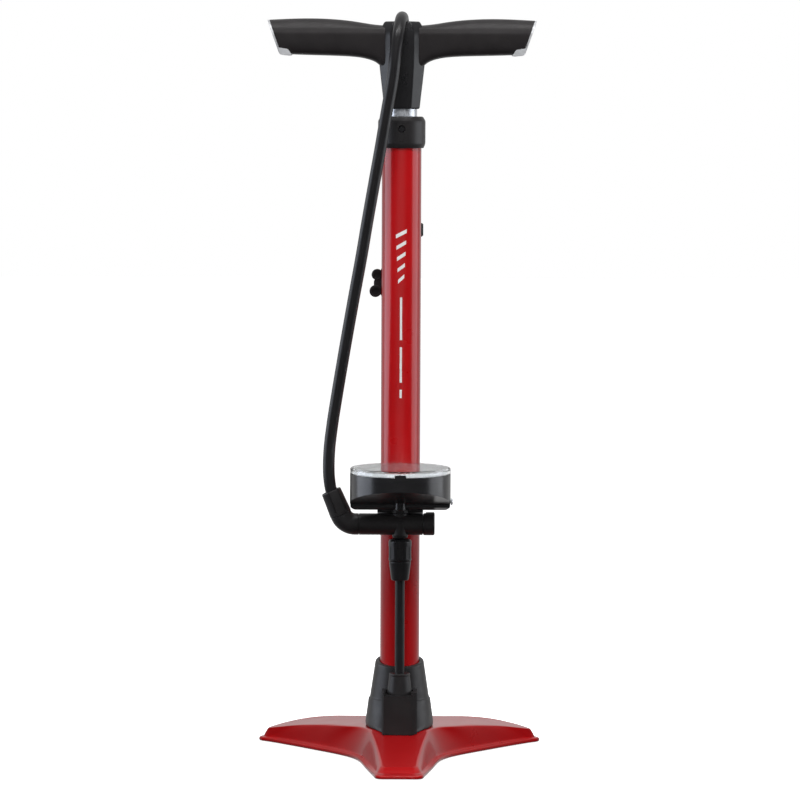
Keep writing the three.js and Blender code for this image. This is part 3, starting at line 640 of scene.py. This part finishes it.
def hub_shape(name, grow=0.0):
    """A square with its corners cut off, narrowing to the rod below and rounding in above."""
    corners = [(1, -HUB_FLAT), (1, HUB_FLAT), (HUB_FLAT, 1), (-HUB_FLAT, 1),
               (-1, HUB_FLAT), (-1, -HUB_FLAT), (-HUB_FLAT, -1), (HUB_FLAT, -1)]
    return loft(name, [[((r + grow) * u, (r + grow) * v, z) for u, v in corners] for r, z in HUB_STATIONS])


hub = hub_shape("hub")
bevel(hub, 1.3, 4, 20)
groove = sweep("groove", hose_line[HOSE_STEPS * 13:HOSE_STEPS * 22], HOSE_R + 0.8, 32)
bore = lathe("bore", [(0, 540), (12.95, 540), (12.95, 572.3), (0, 572.3)], sides=64)
cut(hub, groove, bore)
add(shade(hub, 32), "plunger", SATIN, "black_plastic", "handle_hub")

GRIP_STATIONS = [  # along the arm at the bottom, at the top; underside height, crown height; half depth
    (14, 14, 578.5, 616.3, 15.2), (20.3, 20.3, 584.2, 616.8, 15.6), (23, 23, 586, 617.1, 15.8),
    (27, 27, 587.5, 617.6, 16), (33, 33, 589, 618.6, 16), (40, 40, 589.9, 619.8, 16),
    (50, 50, 590.5, 621.1, 16), (64, 64, 590.9, 622.1, 16), (78, 78.5, 591.2, 622.4, 16),
    (90, 94, 591.6, 622.0, 16), (101.5, 111.7, 592.0, 621.0, 16)]
BAND = (609.6, 614.2)  # the slanted band that runs the length of the grip
CREASE_INSIDE, CREASE_OUTSIDE = 0.0145, 0.1012  # metres: the end rings outside these stay sharp


def grip_section(x, x_top, low, high, depth, side):
    """One section: flat front and back, a slanted band above, a crowned top and a narrow underside."""
    dome = high - BAND[1]
    half = [(depth - 6.5, low), (depth - 3.2, low + 1.2), (depth - 1.2, low + 4.6), (depth - 0.2, low + 9),
            (depth, 604), (depth, BAND[0] - 0.5), (depth - 0.5, BAND[0] + 0.5), (depth - 2.2, BAND[1] - 0.5),
            (depth - 3.2, BAND[1] + dome * 0.1), (depth - 6.5, BAND[1] + dome * 0.6),
            (depth - 11, BAND[1] + dome * 0.9), (depth - 16, high)]
    loop = [(-y, z) for y, z in half] + [(y, z) for y, z in reversed(half[:-1])]
    return [(side * (x + (x_top - x) * (z - low) / (high - low)), y, z) for y, z in loop]


for side, word in ((-1, "left"), (1, "right")):
    grip = loft(f"grip_{word}_cover", [grip_section(*station, side) for station in GRIP_STATIONS])
    smoother = grip.modifiers.new("smoother", "SUBSURF")
    smoother.levels = smoother.render_levels = 2
    bm = bmesh.new()
    bm.from_mesh(grip.data)
    crease = bm.edges.layers.float.new("crease_edge")
    for edge in bm.edges:
        ends = [v.co.x * side for v in edge.verts]
        if min(ends) > CREASE_OUTSIDE or max(ends) < CREASE_INSIDE:
            edge[crease] = 1.0
    bm.to_mesh(grip.data)
    bm.free()
    settle(grip)
    cut(grip, hub_shape("clear", 0.2))
    add(shade(grip, 40), "plunger", GRIP, "soft_grip", f"grip_{word}")

    plate = bevel(loft("plate", [grip_section(x, x + 10.2, 592.3, 620.7, 15.7, side)
                                 for x in (101.2, 103.2)]), 0.3, 2)
    corner = prism("corner", [(side * x, z) for x, z in rounded(
        [(104.6, 597.4), (95.6, 596), (92.6, 591.3), (95.2, 590.8), (102.6, 591.6)],
        [0.6, 1.2, 0.8, 0.6, 0.8], loop=True)], -15.6, 15.6, "y")
    gather(plate, bevel(corner, 0.35, 2))
    plate.name = f"end_cap_{word}_trim"
    add(shade(plate), "plunger", ALLOY, "aluminium", f"end_cap_{word}")

# ---- Valve body, its selector, elbow and nuts ----

body = lathe("valve_body", rounded([
    (0, -35.3), (AIR_R - 0.8, -35.3), (AIR_R - 0.8, -34.7), (AIR_R, -34.7), (AIR_R, 19), (8.2, 19),
    (8.2, 19.35), (0, 19.35)], [0, 0, 0, 0.45, 0.45, 0, 0, 0]), (0, AIR_Y, AIR_Z), "x", 80)
neck = lathe("neck", rounded([(0, 186), (6.2, 186), (7.4, 190.5), (0, 190.5)], 0.4), (0, AIR_Y, 0))
seat = lathe("seat", rounded([(0, 200), (6.6, 200), (6.6, 206.7), (0, 206.7)], 0.5), (0, AIR_Y, 0))
rib = lathe("rib", rounded([(0, 188.4), (5.2, 188.4), (5.2, 200), (0, 200)], 0.3),
            (0, AIR_Y - 4.6, 0), sides=40)
join(body, neck, seat, rib)
add(shade(body), "stand", BLACK, "black_plastic", "manifold_body")
HEX_R = 6.9
post = prism("post", [(HEX_R * cos(k * pi / 3), AIR_Y + HEX_R * sin(k * pi / 3)) for k in range(6)],
             206.8, 211.5)
add(shade(bevel(post, 0.6)), "stand", BLACK, "black_plastic", "gauge_post")

knob = lathe("knob", rounded([(0, 19.4), (8.8, 19.4), (9.4, 20.4), (9.4, 28.2), (8.5, 29.1), (0, 29.1)], 0.5),
             (0, AIR_Y, AIR_Z), "x", 80)
tab = bevel(block("tab", (21.4, 29.1), (AIR_Y - 4.5, AIR_Y + 4.5), (AIR_Z, AIR_Z + 10)), 1.1, 4)
join(knob, tab)
cut(knob, bevel(block("facet", (22.6, 27.6), (AIR_Y - 12, AIR_Y - 9), (AIR_Z - 3.6, AIR_Z + 3.6)), 0.6, 3),
    lathe("end_recess", rounded([(0, 28.2), (5.4, 28.2), (5.4, 31), (0, 31)], 0.4),
          (0, AIR_Y, AIR_Z), "x", 48))
add(shade(knob), "selector", BLACK, "black_plastic", "selector_knob")

BEND, START, STRAIGHT = 12.6, -35, 3.1  # the arc's radius, where the elbow joins the body, run to the arc
turns = [(pi / 2 - LEAN) * k / 14 for k in range(15)]
elbow_line = [(START, AIR_Y, AIR_Z), (START - 1.5, AIR_Y, AIR_Z)]
elbow_line += [(START - STRAIGHT - BEND * sin(a), AIR_Y, AIR_Z + BEND * (1 - cos(a))) for a in turns]
arc_x, _, arc_z = elbow_line[-1]


def past(distance):
    """A point beyond the elbow's arc, along its upper end."""
    return (arc_x - distance * sin(LEAN), AIR_Y, arc_z + distance * cos(LEAN))


elbow = sweep("elbow", [elbow_line[0], *elbow_line[1:], past(0.45)], AIR_R, 72)
add(shade(bevel(elbow, 0.35, 2, 60)), "stand", BLACK, "black_plastic", "hose_elbow")
nut = lathe("hose_nut", rounded(
    [(0, 0.3), (9.3, 0.3), (8.5, 21), (8, 21.6), (6.2, 21.6), (5.3, 17.6), (5.3, 12), (0, 12)],
    [0, 0.4, 0.3, 0.3, 0.4, 0.5, 0, 0]), sides=72)
for angle in range(0, 360, 60):
    slot_cut = bevel(block("slot", (8, 10), (-0.55, 0.55), (3, 24)), 0.2, 2)
    cut(nut, turn_about(slot_cut, radians(angle + 12), "Z", (0, 0, 0)))
origin = Vector(world((0, 0, 0)))
place = Vector(world(past(0.5))) - origin
nut.data.transform(Matrix.Translation(place) @ Matrix.Translation(origin)
                   @ Matrix.Rotation(-LEAN, 4, "Y") @ Matrix.Translation(-origin))
add(shade(nut), "stand", BLACK, "black_plastic", "elbow_nut")

lower_nut = lathe("hose_nut_lower", rounded([
    (4.4, 166.5), (9.3, 166.5), (9.7, 167.4), (9.7, 183), (8.7, 184.6), (6.5, 185.2), (4.4, 185.2)],
    [0, 0.3, 0.3, 0.6, 0.8, 0.5, 0], loop=True), (0, AIR_Y, 0), loop=True)
for angle in range(0, 360, 45):
    flat = bevel(block("flat", (9.25, 11), (AIR_Y - 2.1, AIR_Y + 2.1), (168.6, 179)), 0.25, 2)
    cut(lower_nut, turn_about(flat, radians(angle), "Z", (0, AIR_Y, 0)))
add(shade(lower_nut), "stand", SATIN, "black_plastic", "lower_nut")
sleeve = lathe("hose_sleeve", rounded([
    (4.4, 150), (6.9, 150), (7.5, 151), (9.2, 164.6), (9.2, 166.2), (4.4, 166.2)],
    [0, 0.4, 0.5, 0.6, 0.2, 0], loop=True), (0, AIR_Y, 0), loop=True)
add(shade(sleeve), "stand", SATIN, "black_plastic", "lower_sleeve")
short_line = smooth_route(
    [(0, -30, 37.3), (0, -30, 60), (0, -29.6, 110), (0, AIR_Y, 150), (0, AIR_Y, 183)], 14)
short = sweep("hose_short", short_line, SHORT_HOSE_R, 28)
add(shade(short, 50, weighted=False), "stand", HOSE, "hose_rubber", "short_hose")

# ---- Gauge ----

CASE_LOW, CASE_TOP, DIAL_Z, LENS_TOP = 211.7, 243.4, 242.1, 248.6
drum = lathe("gauge_case", rounded(
    [(0, CASE_LOW), (40, CASE_LOW), (GAUGE_R, 214.6), (GAUGE_R, CASE_TOP), (39.8, CASE_TOP), (39.8, 238),
     (0, 238)], [0, 1, 1.2, 0.3, 0.2, 0, 0]), (0, GAUGE_Y, 0), sides=144)
STEP_Y, STEP_Z = -55, 216.9  # the slanted underside ends in a small step towards the barrel
UNDER_SLOPE, WELL_CLEAR = 0.31, -120
slope = [(STEP_Y, STEP_Z), (WELL_CLEAR, STEP_Z + UNDER_SLOPE * (STEP_Y - WELL_CLEAR)), (WELL_CLEAR, 180),
         (-49.5, 180), (-49.5, CASE_LOW), (STEP_Y, 214.2)]
cut(drum, prism("under", slope, -60, 60, "x"))
bevel(drum, 0.35, 2, 30)
GAUGE_FRONT = GAUGE_Y - GAUGE_R
tab = bevel(block("tab", (-4.6, 4.6), (GAUGE_FRONT - 0.2, GAUGE_FRONT + 2), (240, 245.6)), 0.3, 2)
boss = lathe("boss", rounded([(0, 211.9), (4.6, 211.9), (4.6, 220), (0, 220)], [0, 1, 0, 0]),
             (0, STEP_Y, 0), sides=48)
join(drum, boss, tab)
add(shade(drum, 32), "stand", CASE, "black_plastic", "gauge_housing")

dial = lathe("dial", rounded([
    (1.9, 241.3), (39.4, 241.3), (39.4, 246.5), (38.6, 246.5), (38.3, DIAL_Z), (1.9, DIAL_Z)],
    [0.1, 0.2, 0.2, 0.2, 0.5, 0.1], loop=True), (0, GAUGE_Y, 0), sides=128, loop=True)
add(shade(dial), "stand", DIAL, "dial_white", "gauge_dial")

SWEEP_START, SWEEP = radians(225), radians(270)
TICKS, NUMERALS, ARC_STEPS = 40, 8, 90  # spaces between the marks
NUMERAL_STEP, NUMERAL_SIZE, NUMERAL_R = 20, 5.4, 26.5
ink = bmesh.new()


def spot(turn, r):
    return (r * cos(turn), GAUGE_Y + r * sin(turn))


for k in range(TICKS + 1):
    turn = SWEEP_START - SWEEP * k / TICKS
    wide, inner = (0.5, 31) if k % 5 == 0 else (0.22, 33.2)
    tick = block("tick", (inner, 36.4), (-wide, wide), (DIAL_Z - 0.02, DIAL_Z + 0.1))
    turn_about(tick, turn, "Z", (0, 0, 0))
    tick.data.transform(Matrix.Translation((0, GAUGE_Y * MM, 0)))
    ink.from_mesh(tick.data)
    bpy.data.objects.remove(tick)
for k in range(NUMERALS + 1):
    letters = bpy.data.curves.new("numeral", "FONT")
    letters.body = str(NUMERAL_STEP * k)
    letters.align_x, letters.align_y = "CENTER", "CENTER"
    letters.size = NUMERAL_SIZE * MM
    letters.extrude = 0.07 * MM
    text = bpy.data.objects.new("numeral", letters)
    scene.collection.objects.link(text)
    drawn = bpy.data.meshes.new_from_object(text.evaluated_get(bpy.context.evaluated_depsgraph_get()))
    x, y = spot(SWEEP_START - SWEEP * k / NUMERALS, NUMERAL_R)
    drawn.transform(Matrix.Translation(world((x, y, DIAL_Z + 0.05))))
    ink.from_mesh(drawn)
    bpy.data.objects.remove(text)
arc = [spot(SWEEP_START - SWEEP * k / ARC_STEPS, 37.2) for k in range(ARC_STEPS + 1)]
arc += [spot(SWEEP_START - SWEEP * k / ARC_STEPS, 36.7) for k in range(ARC_STEPS, -1, -1)]
band = prism("band", arc, DIAL_Z - 0.02, DIAL_Z + 0.08)
ink.from_mesh(band.data)
bpy.data.objects.remove(band)
ink_mesh = bpy.data.meshes.new("dial_marks")
ink.to_mesh(ink_mesh)
ink.free()
dial_marks = bpy.data.objects.new("dial_marks", ink_mesh)
scene.collection.objects.link(dial_marks)
add(dial_marks, "stand", INK, "black_plastic")

needle = prism("needle_blade", [(-1.7, -9), (0, -10.2), (1.7, -9), (0.45, 29.5), (0, 31), (-0.45, 29.5)],
               242.8, 243.5)
bevel(needle, 0.15, 2)
turn_about(needle, radians(135), "Z", (0, 0, 0))
needle.data.transform(Matrix.Translation((0, GAUGE_Y * MM, 0)))
join(needle, lathe("hub_disc", rounded(
    [(0, 228), (1.2, 228), (1.2, 242.7), (3.2, 242.7), (3.2, 243.8), (2, 244.2), (0, 244.2)],
    [0, 0, 0, 0.2, 0.4, 0.4, 0]), (0, GAUGE_Y, 0), sides=40))
add(shade(needle), "needle", POINTER, "pointer", "gauge_needle")

lens = lathe("lens", rounded(
    [(0, LENS_TOP), (40.8, LENS_TOP), (GAUGE_R, 247.6), (GAUGE_R, 243.7), (39.6, 243.7), (39.6, 247),
     (0, 247)], [0, 0.6, 0.6, 0.3, 0.3, 0.8, 0]), (0, GAUGE_Y, 0), sides=144)
cut(lens, block("notch", (-5, 5), (GAUGE_FRONT - 1, GAUGE_FRONT + 2.4), (240, 245.9)))
add(shade(lens, 30), "stand", CLEAR, "clear_lens", "gauge_lens")
SIDE_SCREW_Z = 219.9
side_screw = lathe("case_screw", rounded(
    [(0, 38.6), (1.4, 38.6), (1.4, 42.3), (3, 42.3), (2.7, 43.7), (0, 44.1)], [0, 0, 0, 0.3, 0.7, 0]),
    (0, GAUGE_Y, SIDE_SCREW_Z), "x", 40)
cut(side_screw, block("slot", (43.3, 45), (GAUGE_Y - 3.5, GAUGE_Y + 3.5),
                      (SIDE_SCREW_Z - 0.4, SIDE_SCREW_Z + 0.4)))
add(shade(side_screw), "stand", CHROME, "polished_steel", "gauge_side_screw")

# ---- Holder behind the barrel ----


def arc_plate(name, r0, r1, start, end, low, high, at=(0, 0), steps=28):
    turns = [radians(start + (end - start) * k / steps) for k in range(steps + 1)]
    outline = [(at[0] + r1 * cos(a), at[1] + r1 * sin(a)) for a in turns]
    outline += [(at[0] + r0 * cos(a), at[1] + r0 * sin(a)) for a in reversed(turns)]
    return prism(name, outline, low, high)


holder = arc_plate("holder", BARREL_R + 1.8, 21.4, 70, 110, 392, 482)
cut(holder, block("relief", (-30, 30), (19.3, 40), (417, 452)),
    block("flat", (-30, 30), (21.2, 40), (380, 500)))
bevel(holder, 0.6)
clip = bevel(arc_plate("clip", 8.1, 10.9, 54, 54 - 288, 454, 466, (0, HEAD_Y), 48), 0.6)
join(holder, clip)
EYES = [(-20.3, 406, 4.8, 3), (-21.8, 392, 5.1, 3.3)]  # across, height, radius, radius of its socket
fin = prism("fin", rounded([
    (-13, 389), (-19.6, 389), (-19.6, 394.4), (-23.2, 396.6), (-23.2, 401), (-19.6, 403.4), (-19.6, 409.5),
    (-13, 409.5)], [0, 0.6, 1, 1, 1, 1, 0.6, 0], loop=True), 9.6, 12.6, "y")
for x, z, r, _ in EYES:
    join(fin, lathe("eye", rounded([(0, 8.6), (r, 8.6), (r, 12.6), (0, 12.6)], 0.7), (x, 0, z), "y", 56))
for x, z, _, r in EYES:
    cut(fin, lathe("socket", rounded([(0, 5), (r, 5), (r, 11.6), (0, 11.6)], 0.3), (x, 0, z), "y", 48))
cut(fin, lathe("clear", [(0, 380), (BARREL_R + 0.6, 380), (BARREL_R + 0.6, 420), (0, 420)], sides=96))
root = bevel(arc_plate("root", BARREL_R + 0.6, BARREL_R + 3, 107, 152, 388.5, 411), 0.5)
join(fin, root)
join(holder, fin)
add(shade(holder), "stand", BLACK, "black_plastic", "head_holder")
for i, z in enumerate((402, 478)):
    head_screw = lathe(f"holder_screw_head_{i + 1}", rounded(
        [(0, 17.3), (1.5, 17.3), (1.5, 21.5), (3, 21.5), (2.5, 23.1), (0, 23.4)],
        [0, 0, 0, 0.3, 0.7, 0]), (0, 0, z), "y", 36)
    cut(head_screw, block("slot", (-0.35, 0.35), (22.4, 25), (z - 3.5, z + 3.5)))
    add(shade(head_screw), "stand", STEEL, "steel", f"holder_screw_{i + 1}")

# ---- The CAD nodes that stay, each with a finish and smooth rounds; the gauge bracket and the holder saddle also get softened edges ----

KEPT = {
    RUBBER: ["barrel_gasket", "rod_wiper", "selector_oring", "piston_seal"],
    STEEL: ["base_screw_1", "base_screw_2", "base_screw_3", "valve_spring", "bracket_screw", "lever_pin",
            "handle_bolt"],
    ALLOY: ["foot_plug", "rod_plug"],
    BRASS: ["valve_seat", "valve_poppet", "selector_stem", "bourdon_tube", "gauge_movement"],
    NYLON: ["rod_bushing"],
    RED: ["holder_saddle"],
    BLACK: ["gauge_bracket", "piston_head"],
}
EDGED = {"gauge_bracket": 0.5, "holder_saddle": 0.3}
WELD = 1e-5  # metres
for material, names in KEPT.items():
    for name in names:
        node = frame["nodes"][name]
        node.data.materials.clear()
        node.data.materials.append(material)
        node.data.shade_smooth()
        weld = node.modifiers.new("weld", "WELD")
        weld.merge_threshold = WELD
        if name in EDGED:
            edges = node.modifiers.new("edges", "BEVEL")
            edges.width = EDGED[name] * MM
            edges.segments = 2
            edges.limit_method = "ANGLE"
            edges.angle_limit = radians(40)
        node.data.set_sharp_from_angle(angle=radians(32))

# ---- Floor, light and surroundings ----

FLOOR_HALF = 9  # metres
floor = bpy.data.objects.new("floor", bpy.data.meshes.new("floor"))
floor.data.from_pydata([(x * FLOOR_HALF, y * FLOOR_HALF, 0) for x, y in ((-1, -1), (1, -1), (1, 1), (-1, 1))],
                       [], [(0, 1, 2, 3)])
scene.collection.objects.link(floor)
paper = bpy.data.materials.new("pale_floor")
paper.use_nodes = True
for socket, value in (("Base Color", (0.93, 0.93, 0.93, 1)), ("Roughness", 0.9), ("Specular IOR Level", 0.1),
                      ("Emission Color", (1, 1, 1, 1)), ("Emission Strength", 0.85)):
    paper.node_tree.nodes["Principled BSDF"].inputs[socket].default_value = value
floor.visible_glossy = False
floor.visible_diffuse = False
floor.data.materials.append(paper)


def softbox(name, place, target, size, radiance, tint=(1, 1, 1)):
    """A soft lamp at place, turned to target. These are in metres."""
    lamp = bpy.data.lights.new(name, "AREA")
    lamp.shape = "RECTANGLE"
    lamp.size, lamp.size_y = size
    lamp.energy = radiance * pi * size[0] * size[1]
    lamp.color = tint
    obj = bpy.data.objects.new(name, lamp)
    obj.location = place
    obj.rotation_euler = (Vector(target) - Vector(place)).to_track_quat("-Z", "Y").to_euler()
    obj.visible_camera = False
    scene.collection.objects.link(obj)
    return obj


sides = [softbox("side_left", (-1.35, 0, 0.5), (0, 0, 0.36), (1.2, 0.9), 2.2, (0.82, 0.88, 1.0)),
         softbox("side_right", (1.35, 0, 0.5), (0, 0, 0.36), (1.1, 0.9), 1.7, (0.92, 0.95, 1.0))]
lit = bpy.data.collections.new("lit_from_the_sides")  # everything but the foot, which would be veiled
for obj in scene.objects:
    if obj.type == "MESH" and obj is not foot:
        lit.objects.link(obj)
for lamp in sides:
    lamp.light_linking.receiver_collection = lit
softbox("key", (0.15, -1.3, 2.0), (0, 0, 0.3), (1.3, 0.8), 12).visible_glossy = False
softbox("fill", (-0.2, -2.4, 0.5), (0, 0, 0.3), (2.2, 1.2), 2.4).visible_glossy = False
softbox("overhead", (0, -0.2, 2.1), (0, 0, 0.3), (1.8, 0.18), 9)

surroundings = bpy.data.worlds.new("surroundings")
scene.world = surroundings
surroundings.use_nodes = True
nodes, link = surroundings.node_tree.nodes, surroundings.node_tree.links.new
backdrop = nodes["Background"]
backdrop.inputs["Color"].default_value = (1, 1, 1, 1)
room = nodes.new("ShaderNodeBackground")
heading = nodes.new("ShaderNodeTexCoord")
parts = nodes.new("ShaderNodeSeparateXYZ")
fall = nodes.new("ShaderNodeMapRange")  # the room is brighter behind the pump than in front of it
for socket, value in (("From Min", -0.1), ("From Max", 0.8), ("To Min", 0.035), ("To Max", 0.7)):
    fall.inputs[socket].default_value = value
link(heading.outputs["Generated"], parts.inputs["Vector"])
link(parts.outputs["Y"], fall.inputs["Value"])
link(fall.outputs["Result"], room.inputs["Strength"])
choose = nodes.new("ShaderNodeMixShader")
seen = nodes.new("ShaderNodeLightPath")
link(seen.outputs["Is Camera Ray"], choose.inputs["Fac"])
link(room.outputs["Background"], choose.inputs[1])
link(backdrop.outputs["Background"], choose.inputs[2])
link(choose.outputs["Shader"], nodes["World Output"].inputs["Surface"])
